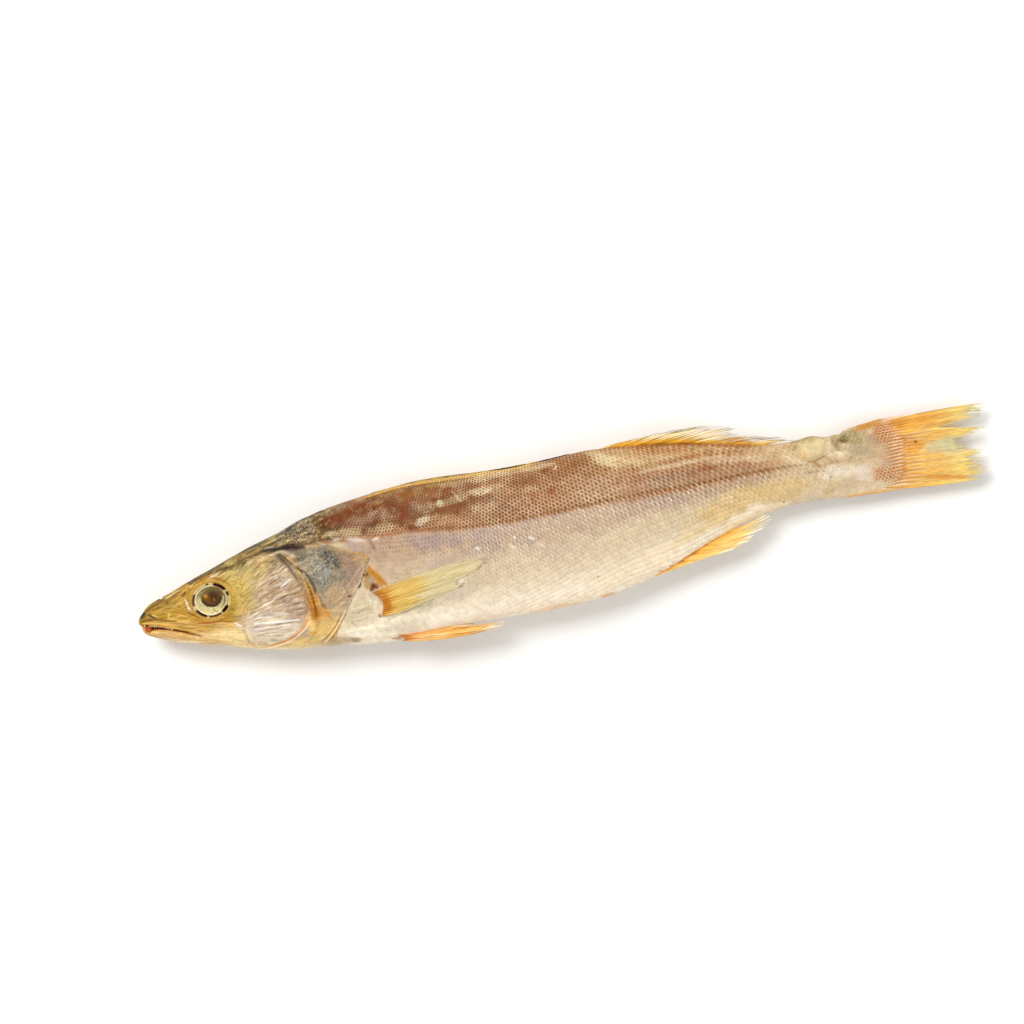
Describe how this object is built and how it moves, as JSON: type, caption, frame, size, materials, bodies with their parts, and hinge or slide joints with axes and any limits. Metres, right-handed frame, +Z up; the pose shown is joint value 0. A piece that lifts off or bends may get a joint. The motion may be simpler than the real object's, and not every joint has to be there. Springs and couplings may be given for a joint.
{
  "type": "dried salted zander",
  "caption": "Whole dried salted zander lying on its side with the left flank up: toothed mouth slightly open, fins folded back, ragged tail fin.",
  "frame": {"origin": "centre of the bounding box in plan, at the level of the surface that the fish lies on", "axes": "+X from the head towards the tail, +Y towards the back of the fish, +Z up, out of the left flank"},
  "size_m": [0.3511, 0.0657, 0.0295],
  "materials": {
    "skin": "dry scaled skin, reddish brown on the back, pale cream on the flank, slightly waxy",
    "fins": "dry translucent golden fin membrane over stiff rays",
    "eyes": "clouded dried eye, cream ring round an olive brown pupil",
    "mouth": "dark red dried mouth lining with small pale teeth"
  },
  "bodies": {
    "root": {"fish": "skin"}
  },
  "joints": []
}
